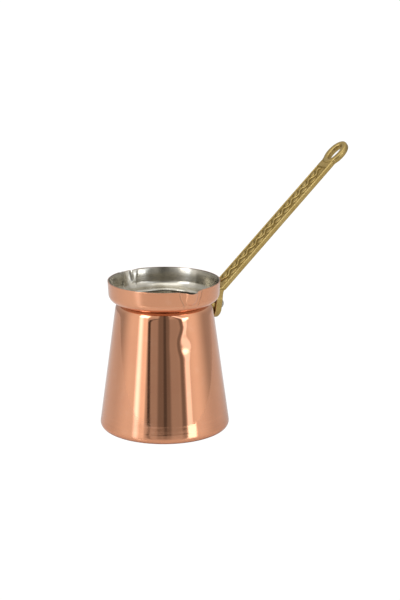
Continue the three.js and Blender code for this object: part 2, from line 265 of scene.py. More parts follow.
class Shader:
    """A node tree under construction, with short ways to add and join nodes."""

    def __init__(self, name: str) -> None:
        """Start an empty material of a name with one Principled shader."""
        self.material = bpy.data.materials.new(name)
        self.material.use_nodes = True
        self.tree = self.material.node_tree
        self.bsdf = self.tree.nodes["Principled BSDF"]
        self.place = self.node("ShaderNodeTexCoord").outputs["Object"]

    @classmethod
    def over(cls, tree: bpy.types.NodeTree) -> Shader:
        """Work on a node tree that is there already, such as the world's."""
        shader = cls.__new__(cls)
        shader.tree = tree
        return shader

    def node(self, kind: str, **settings: object) -> bpy.types.Node:
        """Add a node.

        Args:
            kind: The node's type.
            settings: Its properties by name.

        Returns:
            The node.
        """
        made = self.tree.nodes.new(kind)
        for name, value in settings.items():
            setattr(made, name, value)
        return made

    def link(self, source: Socket, target: Socket) -> None:
        """Join two sockets."""
        self.tree.links.new(source, target)

    def feed(self, made: bpy.types.Node, values: dict[str | int, object]) -> bpy.types.Node:
        """Give a node's inputs their values or links.

        Args:
            made: The node.
            values: A number, a colour or a socket for each input.

        Returns:
            The same node.
        """
        for key, value in values.items():
            if isinstance(value, Socket):
                self.link(value, made.inputs[key])
            else:
                made.inputs[key].default_value = value
        return made

    def maths(self, operation: str, a: object, b: object = 0.0) -> Socket:
        """Add a Math node that works on one or two numbers or sockets."""
        return self.feed(self.node("ShaderNodeMath", operation=operation), {0: a, 1: b}).outputs[0]

    def stretched(self, scale: Sequence[float]) -> Socket:
        """Object coordinates, stretched by a factor along each axis."""
        return self.feed(self.node("ShaderNodeMapping"), {"Vector": self.place, "Scale": scale}).outputs[0]

    def speckle(self, coords: Socket, scale: float, detail: float = 3.0, rough: float = 0.55) -> Socket:
        """A noise pattern from 0 to 1, with so many finer layers and so strong."""
        values = {"Vector": coords, "Scale": scale, "Detail": detail, "Roughness": rough}
        return self.feed(self.node("ShaderNodeTexNoise"), values).outputs[0]

    def ranged(self, value: Socket, low: float, high: float, out_low: float, out_high: float) -> Socket:
        """Map a value from the range low to high to the range out_low to out_high, smoothly and clamped."""
        values = {"Value": value, "From Min": low, "From Max": high, "To Min": out_low, "To Max": out_high}
        return self.feed(self.node("ShaderNodeMapRange", interpolation_type="SMOOTHSTEP"), values).outputs[0]

    def blended(self, share: object, a: object, b: object) -> Socket:
        """Mix two colours or their sockets, with a share of the second one."""
        made = self.node("ShaderNodeMix", data_type="RGBA")
        return self.feed(made, {0: share, 6: a, 7: b}).outputs[2]

    def axial(self) -> tuple[Socket, Socket, Socket]:
        """Work out cylindrical coordinates round the Z axis.

        Returns:
            The radius in metres, the angle in radians and the height in metres.
        """
        x, y, height = self.feed(self.node("ShaderNodeSeparateXYZ"), {0: self.place}).outputs
        squared = self.maths("ADD", self.maths("MULTIPLY", x, x), self.maths("MULTIPLY", y, y))
        return self.maths("SQRT", squared), self.maths("ARCTAN2", y, x), height

    def lathe_lines(self, scale: float, detail: float = 4.0) -> Socket:
        """Fine lines that run round the pot, as a spinning tool leaves them.

        Args:
            scale: How many line groups there are to a metre.
            detail: How many finer sets of lines each group holds.

        Returns:
            The pattern's value, from 0 to 1.
        """
        scales = (scale, LINES_BREAK, scale)
        parts = [self.maths("MULTIPLY", part, times) for part, times in zip(self.axial(), scales)]
        place = self.feed(self.node("ShaderNodeCombineXYZ"), dict(enumerate(parts)))
        return self.speckle(place.outputs[0], 1.0, detail, 0.6)

    def bump(self, height: Socket, strength: float, distance: float, normal: Socket | None = None) -> Socket:
        """Add a bump.

        Args:
            height: The height pattern.
            strength: The bump's strength.
            distance: The bump's depth in metres.
            normal: The normal it adds to, if any.

        Returns:
            The bumped normal.
        """
        values = {"Strength": strength, "Distance": distance, "Height": height}
        if normal is not None:
            values["Normal"] = normal
        return self.feed(self.node("ShaderNodeBump"), values).outputs[0]

    def brushed_round(self) -> None:
        """Turn the shader's grain round the Z axis, as a brush held against a turning pot leaves it."""
        tangent = self.node("ShaderNodeTangent", direction_type="RADIAL", axis="Z")
        self.link(tangent.outputs[0], self.bsdf.inputs["Tangent"])

    def finish(
        self, colour: object, roughness: object, normal: Socket, **constants: float
    ) -> bpy.types.Material:
        """Set the Principled shader.

        Args:
            colour: The base colour or its socket.
            roughness: The roughness or its socket.
            normal: The bumped normal.
            constants: Other inputs by name, with underscores for spaces.

        Returns:
            The finished material.
        """
        self.feed(self.bsdf, {"Base Color": colour, "Roughness": roughness, "Normal": normal})
        for name, value in constants.items():
            self.bsdf.inputs[name.replace("_", " ")].default_value = value
        return self.material


@dataclass(frozen=True)
class PolishedCopper:
    """Polished spun copper with fine lines round it and soft smears from the buff."""

    colour: Colour = (0.82, 0.385, 0.215, 1)
    worn: Colour = (0.78, 0.35, 0.20, 1)
    pale: Colour = (0.88, 0.50, 0.34, 1)
    # Painted shade: the dark colour that is laid into the neck crease and the spouts' scored creases.
    painted_crease_shade: Colour = (0.36, 0.21, 0.135, 1)
    roughness: float = 0.045
    collar_roughness: float = 0.15
    collar_foot: float = 80.4 * MM
    crease: float = 80.75 * MM
    collar_edge: float = 1.2 * MM
    crease_blend: tuple[float, float] = (0.1 * MM, 0.9 * MM)
    scratched: tuple[float, float] = (6 * MM, 30 * MM)
    score_darkness: float = 0.6
    score_blend: tuple[float, float] = (0.08, 0.42)
    line_scale: float = 900.0
    fine_scale: float = 3600.0
    scratch_scale: float = 1700.0

    def make(self) -> bpy.types.Material:
        """Build the material.

        Returns:
            The copper.
        """
        s = Shader("polished_copper")
        _, _, height = s.axial()
        lines = s.lathe_lines(self.line_scale)
        smears = s.speckle(s.stretched((30, 30, 55)), 1.0, 3.0, 0.5)
        stains = s.speckle(s.place, 120.0, 4.0, 0.6)
        colour = s.blended(s.ranged(smears, 0.35, 0.75, 0.0, 0.5), self.colour, self.worn)
        colour = s.blended(s.ranged(stains, 0.55, 0.8, 0.0, 0.25), colour, self.pale)
        off_crease = s.maths("ABSOLUTE", s.maths("SUBTRACT", height, self.crease))
        # Painted shade: the colour darkens along the crease under the collar, where shade falls.
        colour = s.blended(s.ranged(off_crease, *self.crease_blend, 0.75, 0.0), colour, self.painted_crease_shade)
        # Painted shade: dark lines along the spouts' scored creases.
        colour = s.blended(self.painted_score_shade(s), colour, self.painted_crease_shade)
        rough = s.node("ShaderNodeMix", data_type="FLOAT")
        on_collar = s.ranged(height, self.collar_foot, self.collar_foot + self.collar_edge, 0.0, 1.0)
        plain = s.ranged(lines, 0.3, 0.75, self.roughness, self.roughness * 1.6)
        satin = s.ranged(lines, 0.3, 0.75, self.collar_roughness, self.collar_roughness * 1.25)
        s.feed(rough, {0: on_collar, 2: plain, 3: satin})
        smeared = s.maths("ADD", rough.outputs[0], s.ranged(smears, 0.5, 0.8, 0.0, 0.035))
        low = s.ranged(height, *self.scratched, 1.0, 0.0)
        rubbed = s.maths("MULTIPLY", low, s.ranged(s.speckle(s.place, 45.0, 2.0), 0.42, 0.62, 0.0, 1.0))
        scratches = s.maths("MULTIPLY", s.lathe_lines(self.scratch_scale), rubbed)
        ridges = s.bump(scratches, 0.35, 0.06 * MM, s.bump(lines, 0.05, 0.05 * MM))
        normal = s.bump(s.lathe_lines(self.fine_scale), 0.05, 0.02 * MM, ridges)
        return s.finish(colour, smeared, normal, Metallic=1.0, Coat_Weight=0.4, Coat_Roughness=0.05)

    def painted_score_shade(self, s: Shader) -> Socket:
        """Painted shade: dark lines in the creases beside each spout.

        Args:
            s: The shader that is being made.

        Returns:
            How dark each point is, from 0 to 1.
        """
        shape = PotShape()
        _, azimuth, height = s.axial()
        rise = s.ranged(height, shape.spout_foot_z * MM, shape.height * MM, 0.0, 1.0)
        half = s.ranged(rise, 0.0, 1.0, shape.spout_foot_half_width, shape.spout_half_width)
        shown = 0.0
        for middle in shape.spout_azimuths:
            turned = s.maths("ABSOLUTE", s.maths("SUBTRACT", azimuth, math.radians(middle)))
            off = s.maths("SUBTRACT", s.maths("MULTIPLY", turned, shape.rim_radius), half)
            line = s.ranged(s.maths("ABSOLUTE", off), *self.score_blend, 1.0, 0.0)
            shown = s.maths("MAXIMUM", line, shown)
        shown = s.maths("MULTIPLY", shown, s.ranged(rise, 0.02, 0.2, 0.0, 1.0))
        return s.maths("MULTIPLY", shown, self.score_darkness)


@dataclass(frozen=True)
class WipedTin:
    """Tin wiped on hot: a warm grey skin with fine rings, brushed round, and soft upright streaks."""

    colour: Colour = (0.66, 0.625, 0.545, 1)
    dull: Colour = (0.40, 0.37, 0.30, 1)
    dark_rim_edge: Colour = (0.22, 0.19, 0.16, 1)
    roughness: float = 0.24
    rim: float = 94.4 * MM
    dark_edge_depth: tuple[float, float] = (0.7 * MM, 0.2 * MM)
    line_scale: float = 480.0
    streaks: tuple[float, float, float] = (95, 95, 4)

    def make(self) -> bpy.types.Material:
        """Build the material.

        Returns:
            The tin.
        """
        s = Shader("wiped_tin")
        lines = s.lathe_lines(self.line_scale, 1.0)
        streaks = s.speckle(s.stretched(self.streaks), 1.0, 1.0, 0.5)
        colour = s.blended(s.ranged(streaks, 0.35, 0.62, 0.0, 0.75), self.colour, self.dull)
        colour = s.blended(s.ranged(lines, 0.45, 0.75, 0.0, 0.22), colour, self.dull)
        _, _, height = s.axial()
        # Darker along the rim's top edge.
        start, end = (self.rim - depth for depth in self.dark_edge_depth)
        colour = s.blended(s.ranged(height, start, end, 0.0, 0.8), colour, self.dark_rim_edge)
        rough = s.ranged(lines, 0.25, 0.75, self.roughness * 0.9, self.roughness * 1.15)
        s.brushed_round()
        brushed = {"Anisotropic": 0.8, "Anisotropic_Rotation": 0.25}
        return s.finish(colour, rough, s.bump(lines, 0.05, 0.1 * MM), Metallic=1.0, **brushed)


@dataclass(frozen=True)
class CastBrass:
    """Sand-cast brass: satin, darker and duller in its hollows, rubbed bright on its high places."""

    colour: Colour = (0.43, 0.30, 0.10, 1)
    hollow: Colour = (0.20, 0.13, 0.032, 1)
    rubbed: Colour = (0.60, 0.46, 0.20, 1)
    roughness: float = 0.36

    def make(self) -> bpy.types.Material:
        """Build the material.

        Returns:
            The brass.
        """
        s = Shader("cast_brass")
        relief = s.node("ShaderNodeAttribute", attribute_name=RELIEF).outputs["Fac"]
        grain = s.speckle(s.place, 1500.0, 2.0, 0.5)
        pits = s.speckle(s.place, 700.0, 3.0, 0.6)
        patches = s.speckle(s.place, 110.0, 3.0, 0.55)
        colour = s.blended(s.ranged(patches, 0.3, 0.75, 0.0, 0.4), self.colour, self.rubbed)
        colour = s.blended(s.ranged(pits, 0.55, 0.8, 0.0, 0.3), colour, self.hollow)
        colour = s.blended(s.ranged(relief, 0.36, 0.49, 0.9, 0.0), colour, self.hollow)
        colour = s.blended(s.ranged(relief, 0.56, 0.75, 0.0, 0.25), colour, self.rubbed)
        rough = s.ranged(relief, 0.38, 0.6, self.roughness * 1.7, self.roughness * 0.85)
        rough = s.maths("ADD", rough, s.ranged(grain, 0.4, 0.8, 0.0, 0.1))
        skin = s.bump(pits, 0.16, 0.1 * MM)
        return s.finish(colour, rough, s.bump(grain, 0.12, 0.05 * MM, skin), Metallic=1.0)


@dataclass(frozen=True)
class HammeredSteel:
    """A rivet's dull tinned steel, marked by the hammer."""

    colour: Colour = (0.50, 0.48, 0.44, 1)
    dark: Colour = (0.24, 0.22, 0.19, 1)
    roughness: float = 0.34

    def make(self) -> bpy.types.Material:
        """Build the material.

        Returns:
            The steel.
        """
        s = Shader("hammered_steel")
        marks = s.node("ShaderNodeTexVoronoi")
        s.feed(marks, {"Vector": s.place, "Scale": 700.0})
        stains = s.speckle(s.place, 800.0, 4.0, 0.6)
        colour = s.blended(s.ranged(stains, 0.4, 0.75, 0.0, 0.75), self.colour, self.dark)
        rough = s.ranged(stains, 0.3, 0.8, self.roughness, self.roughness * 1.6)
        facets = s.bump(marks.outputs["Distance"], 0.35, 0.15 * MM)
        return s.finish(colour, rough, s.bump(stains, 0.15, 0.05 * MM, facets), Metallic=1.0)


def store_relief(piece: Piece, reach: int) -> None:
    """Store how far each vertex stands above or below its surroundings, as a finish needs it for its hollows.

    Args:
        piece: The piece, whose mesh gets the attribute.
        reach: How many times the surroundings are averaged.
    """
    mesh = piece.data
    count = len(mesh.vertices)
    ends = np.empty(len(mesh.edges) * 2, dtype=np.int64)
    mesh.edges.foreach_get("vertices", ends)
    ends = ends.reshape(-1, 2)
    both = np.concatenate((ends[:, 0], ends[:, 1])), np.concatenate((ends[:, 1], ends[:, 0]))
    neighbours = np.maximum(np.bincount(both[0], minlength=count), 1)
    places = np.empty(count * 3)
    mesh.vertices.foreach_get("co", places)
    normals = np.empty(count * 3, dtype=np.float32)
    mesh.vertex_normals.foreach_get("vector", normals)
    places = places.reshape(-1, 3)
    level = places
    for _ in range(reach):
        sums = [np.bincount(both[0], weights=level[both[1], axis], minlength=count) for axis in range(3)]
        level = np.stack(sums, axis=1) / neighbours[:, None]
    stands = ((places - level) * normals.reshape(-1, 3)).sum(axis=1) / MM
    attribute = mesh.attributes.new(RELIEF, "FLOAT", "POINT")
    attribute.data.foreach_set("value", np.clip(0.5 + 1.6 * stands, 0.0, 1.0).astype(np.float32))


# ---------------------------------------------------------------- the pot


@dataclass
class PotShape:
    """The pot's outside form, which the copper and the tin both follow."""

    height: float = 94.4
    base_radius: float = 40.6
    base_corner: float = 3.4
    neck_radius: float = 29.9
    shoulder_radius: float = 6.0
    shoulder_turn: float = 60.0
    collar_height: float = 13.7
    collar_curve: float = 5.4
    rim_radius: float = 35.0
    rim_thinning: float = 5.0
    rim_thinned: float = 0.5
    spout_azimuths: tuple[float, float] = (-93.5, 100.0)
    collar_flare: float = 3.4
    fold_reach: float = 1.25
    channel_reach: float = 1.75
    channel_half_width: float = 4.1
    channel_foot: float = 8.8
    spout_dip: float = 1.3
    spout_half_width: float = 7.7
    spout_foot_half_width: float = 4.7
    spout_foot: float = 1.2
    spout_crease: float = 0.03
    spout_nose: float = 0.10
    score_depth: float = 0.24
    score_width: float = 0.28
    dent_turn: float = -5.5
    dents: tuple[tuple[float, float, float], ...] = ((19.8, 5.6, 0.36), (10.0, 4.2, -0.16))
    foot_ring: float = 9.6
    foot_ring_depth: float = 0.05
    cone_steps: int = 52
    collar_steps: int = 14
    spout_cuts: int = 3
    spout_margin: float = 1.5

    @property
    def neck_z(self) -> float:
        """Height of the crease under the collar."""
        return self.height - self.collar_height

    @property
    def spout_foot_z(self) -> float:
        """Height of the spouts' feet, just over the crease."""
        return self.neck_z + self.spout_foot

    @property
    def cone_normal(self) -> float:
        """How far the cone's outward normal leans up, in radians."""
        dx = self.neck_radius - (self.base_radius - self.base_corner)
        dz = self.neck_z - self.base_corner
        return math.atan2(dz, dx) - math.acos(self.base_corner / math.hypot(dx, dz))

    def cone_radius(self, z: float) -> float:
        """Outer radius of the straight cone at a height.

        Args:
            z: The height.

        Returns:
            The radius.
        """
        foot_r = self.base_radius - self.base_corner * (1 - math.cos(self.cone_normal))
        foot_z = self.base_corner * (1 + math.sin(self.cone_normal))
        return foot_r - (z - foot_z) * math.tan(self.cone_normal)

    def outside(self) -> list[Sample]:
        """Follow the outside from the base's centre to the rim.

        Returns:
            Radius, height and direction of the outward normal in radians, for each corner of the profile.
        """
        down = -math.pi / 2
        turn = math.radians(self.shoulder_turn)
        corner = self.base_corner
        samples = [(r, 0.0, down) for r in (0.0, 6, 12, 18, 24, 30, 34)]
        samples += arc((self.base_radius - corner, corner), (corner, corner), down, self.cone_normal, 12)
        foot_z = samples[-1][1]
        rise = self.shoulder_radius * (math.sin(turn) - math.sin(self.cone_normal))
        top_z = self.neck_z - rise
        for i in range(1, self.cone_steps):
            z = foot_z + (top_z - foot_z) * (i / self.cone_steps) ** 1.15
            samples.append((self.cone_radius(z) - self.ring(z), z, self.cone_normal))
        centre = (
            self.cone_radius(top_z) - self.shoulder_radius * math.cos(self.cone_normal),
            top_z - self.shoulder_radius * math.sin(self.cone_normal),
        )
        samples += arc(centre, (self.shoulder_radius, self.shoulder_radius), self.cone_normal, turn, 8)
        crease_r = centre[0] + self.shoulder_radius * math.cos(turn)
        samples += [(crease_r, self.neck_z, turn + (down - turn) * i / 8) for i in range(1, 8)]
        flare = math.radians(self.collar_flare)
        curve_z = self.neck_z + self.collar_curve
        straight = self.height - curve_z
        curve_r = self.rim_radius - straight * math.tan(flare)
        samples += arc((crease_r, curve_z), (curve_r - crease_r, self.collar_curve), down, -flare, 18)
        foot_r, foot_z, _ = samples[-1]
        for i in range(1, self.collar_steps + 1):
            share = i / self.collar_steps
            r, z = foot_r + (self.rim_radius - foot_r) * share, foot_z + (self.height - foot_z) * share
            samples.append((r, z, -flare))
        return samples

    def ring(self, z: float) -> float:
        """Depth of the faint groove that the spinning chuck leaves round the foot, at a height."""
        pair = ((z - self.foot_ring) / 0.5) ** 2, ((z - self.foot_ring + 2.1) / 0.6) ** 2
        return self.foot_ring_depth * (math.exp(-pair[0]) + 0.7 * math.exp(-pair[1]))

    def inset(self, depth: float, every: int = 1) -> list[Point2]:
        """Move the outside in by a depth, which thins out towards the rim.

        Args:
            depth: How far in.
            every: Take only each of so many corners of the cone, for a wall that isn't seen.

        Returns:
            Radius and height of each corner.
        """
        moved: list[Point2] = []
        for i, (r, z, normal) in enumerate(self.outside()):
            thin = min(1.0, max(0.0, (z - self.height + self.rim_thinning) / self.rim_thinning))
            deep = depth * (1 - self.rim_thinned * thin**2)
            point = (0.0 if r == 0 else r - deep * math.cos(normal), z - deep * math.sin(normal))
            on_cone = self.base_corner * 1.5 < z < self.neck_z - 3
            if not moved or (math.dist(point, moved[-1]) > 0.01 and not (on_cone and i % every)):
                moved.append(point)
        return moved

    def press(self, place: Vector) -> Vector:
        """Press the spouts into the collar, with the shallow dent that this leaves in the wall below.

        Args:
            place: A point of the pot in millimetres.

        Returns:
            Where the point goes.
        """
        radius = math.hypot(place.x, place.y)
        if radius < 1:
            return place
        azimuth = math.degrees(math.atan2(place.y, place.x))
        middle = self.spout_azimuths[place.y > 0]
        off = math.radians(abs(middle) - abs(azimuth)) * self.rim_radius
        foot = self.spout_foot_z
        rise = min(1.0, max(0.0, (place.z - foot) / (self.height - foot)))
        half = self.spout_foot_half_width + (self.spout_half_width - self.spout_foot_half_width) * rise
        fold = soft_ramp(1 - soft_abs(off / half, self.spout_nose), self.spout_crease)
        down = self.height - place.z
        end = max(0.0, down - self.channel_foot + self.channel_half_width)
        away = (off**2 + end**2) / self.channel_half_width**2
        channel = soft_ramp(1 - away**2, 0.06) * (1 - 0.45 * min(1.0, down / self.channel_foot))
        out = self.fold_reach * rise * fold + self.channel_reach * channel
        scored = min(1.0, rise * 6, max(0.0, self.height - 0.4 - place.z))
        out -= self.score_depth * scored * math.exp(-(((abs(off) - half) / self.score_width) ** 2))
        for below_neck, spread, depth in self.dents:
            below = (place.z - (self.neck_z - below_neck)) / spread
            side = (off - math.radians(self.dent_turn) * self.rim_radius) * radius / self.rim_radius / spread
            out -= depth * math.exp(-(below**2) - side**2)
        scale = (radius + out) / radius
        return Vector((place.x * scale, place.y * scale, place.z - self.spout_dip * rise**2 * fold))


def refine_spouts(piece: Piece, shape: PotShape) -> None:
    """Cut the collar's faces finer where a spout is going to be pressed.

    Args:
        piece: The spun piece.
        shape: The pot's form.
    """
    reach = math.degrees((shape.spout_half_width + shape.spout_margin) / shape.rim_radius)

    def near_spout(face: bpy.types.MeshPolygon) -> bool:
        """Whether a face lies on the collar by a spout.

        Args:
            face: The face.

        Returns:
            True if it does.
        """
        place = face.center / MM
        azimuth = math.degrees(math.atan2(place.y, place.x))
        off = abs(azimuth - shape.spout_azimuths[place.y > 0])
        return place.z > shape.neck_z + 0.5 and place.xy.length > 25 and off < reach

    pick(piece)
    select_faces(piece, near_spout)
    with editing():
        bpy.ops.mesh.select_mode(type="FACE")
        bpy.ops.mesh.subdivide(number_cuts=shape.spout_cuts)
        bpy.ops.mesh.select_mode(type="VERT")


def pressed_shell(name: str, profile: Sequence[Point2], shape: PotShape, steps: int) -> Piece:
    """Spin a closed profile and press the pot's spouts and dents into it.

    Args:
        name: The piece's name.
        profile: Radius and height of each corner, in millimetres.
        shape: The pot's form.
        steps: How many steps go round.

    Returns:
        The shell.
    """
    piece = spin_profile(name, profile, steps)
    refine_spouts(piece, shape)
    move_vertices(piece, shape.press)
    smooth(piece, SHELL_ANGLE)
    return piece


def arc(centre: Point2, radii: Point2, start: float, end: float, steps: int) -> list[Sample]:
    """Sample a round stretch of a profile.

    Args:
        centre: The ellipse's centre.
        radii: Its half-axes.
        start: The first angle in radians.
        end: The last angle in radians.
        steps: How many steps lie between them.

    Returns:
        Radius, height and normal direction of each sample.
    """
    samples = []
    for i in range(steps + 1):
        angle = start + (end - start) * i / steps
        normal = math.atan2(math.sin(angle) / radii[1], math.cos(angle) / radii[0])
        r, z = centre[0] + radii[0] * math.cos(angle), centre[1] + radii[1] * math.sin(angle)
        samples.append((r, z, normal))
    return samples


def soft_abs(value: float, blend: float) -> float:
    """Absolute value with a rounded tip, blend wide."""
    return math.sqrt(value * value + blend * blend) - blend


def soft_ramp(value: float, blend: float) -> float:
    """Zero below zero and the value above it, with a rounded knee."""
    return (value + math.sqrt(value * value + blend * blend)) / 2 if value > -1 else 0.0


@dataclass
class CopperBody:
    """The spun copper shell: base, cone, neck, collar and spouts in one sheet."""

    shape: PotShape
    wall: float = 1.2
    lip: float = 0.22
    steps: int = SHELL_STEPS

    def build(self) -> Piece:
        """Spin the shell and press its spouts.

        Returns:
            The copper piece.
        """
        outer = self.shape.inset(0.0)
        inner = self.shape.inset(self.wall, every=4)
        rim = self.rounded_rim()
        profile = outer[:-1] + rim + inner[:-1][::-1]
        return pressed_shell("spun_copper_body", profile, self.shape, self.steps)

    def rounded_rim(self) -> list[Point2]:
        """The rim's edge, filed round on both sides.

        Returns:
            Radius and height of each corner over the rim, from outside to inside.
        """
        top, out = self.shape.height, self.shape.rim_radius
        edge = self.wall * (1 - self.shape.rim_thinned)
        over = arc((out - self.lip, top - self.lip), (self.lip, self.lip), 0.0, math.pi / 2, 4)
        back = arc((out - edge + self.lip, top - self.lip), (self.lip, self.lip), math.pi / 2, math.pi, 4)
        return [(r, z) for r, z, _ in over + back]

    def dress(self, piece: Piece) -> None:
        """Give the shell its copper and hang it on the frame."""
        piece.data.materials.append(PolishedCopper().make())
        ride_root(piece, Slot.COPPER, "copper_body")


@dataclass
class TinLining:
    """The tin skin on the inside of the copper."""

    shape: PotShape
    outer_depth: float = 1.22
    inner_depth: float = 1.47
    below_rim: float = 0.03
    edge: float = 0.12
    steps: int = SHELL_STEPS

    def build(self) -> Piece:
        """Spin the skin and press it with the copper.

        Returns:
            The tin piece.
        """
        outer = self.shape.inset(self.outer_depth, every=4)
        inner = self.shape.inset(self.inner_depth)
        top = self.shape.height - self.below_rim
        outer[-1] = (outer[-1][0] + self.edge, top)
        inner[-1] = (inner[-1][0], top - self.edge)
        profile = outer + [(inner[-1][0] + self.edge / 2, top)] + inner[::-1]
        return pressed_shell("tin_skin", profile, self.shape, self.steps)

    def dress(self, piece: Piece) -> None:
        """Give the skin its tin and hang it on the frame."""
        piece.data.materials.append(WipedTin().make())
        ride_root(piece, Slot.TIN, "tin_lining")


# ---------------------------------------------------------------- the handle


@dataclass
class HandleLayout:
    """Where the handle's tang, bend, shank and eye lie, in the plane of the handle."""

    shape: PotShape
    tang_below_neck: float = 14.4
    tang_above_neck: float = 4.6
    tang_wall_gap: float = 0.6
    tang_collar_gap: float = 0.35
    tang_thickness: float = 4.6
    shank_start_out: float = 6.5
    shank_elevation: float = 40.2
    shank_length: float = 111.0
    eye_length: float = 19.0

    @property
    def foot(self) -> Vector:
        """The lower end of the tang's back."""
        z = self.shape.neck_z - self.tang_below_neck
        return Vector((self.shape.cone_radius(z) + self.tang_wall_gap, 0, z))

    @property
    def top(self) -> Vector:
        """The upper end of the tang's back."""
        radius = self.shape.rim_radius + self.tang_collar_gap
        return Vector((radius, 0, self.shape.neck_z + self.tang_above_neck))

    @property
    def up(self) -> Vector:
        """The way the tang stands."""
        return (self.top - self.foot).normalized()

    @property
    def out(self) -> Vector:
        """The way the tang's outer face looks."""
        return Vector((self.up.z, 0, -self.up.x))

    @property
    def along(self) -> Vector:
        """The way the shank runs."""
        rise = math.radians(self.shank_elevation)
        return Vector((math.cos(rise), 0, math.sin(rise)))

    @property
    def raised(self) -> Vector:
        """The way the shank's decorated face looks."""
        return Vector((-self.along.z, 0, self.along.x))

    @property
    def start(self) -> Vector:
        """The shank's centre at its lower end."""
        return self.top + self.out * self.shank_start_out

    def in_shank_frame(self, place: Vector) -> Vector:
        """Turn a place in the pot's frame into shank coordinates: along, across and up off it."""
        away = place - self.start
        return Vector((away.dot(self.along), away.y, away.dot(self.raised)))

    def matrix(self) -> Matrix:
        """The matrix in metres that takes shank coordinates to the pot's frame."""
        turn = Matrix.Rotation(-math.radians(self.shank_elevation), 4, "Y")
        return Matrix.Translation(self.start * MM) @ turn


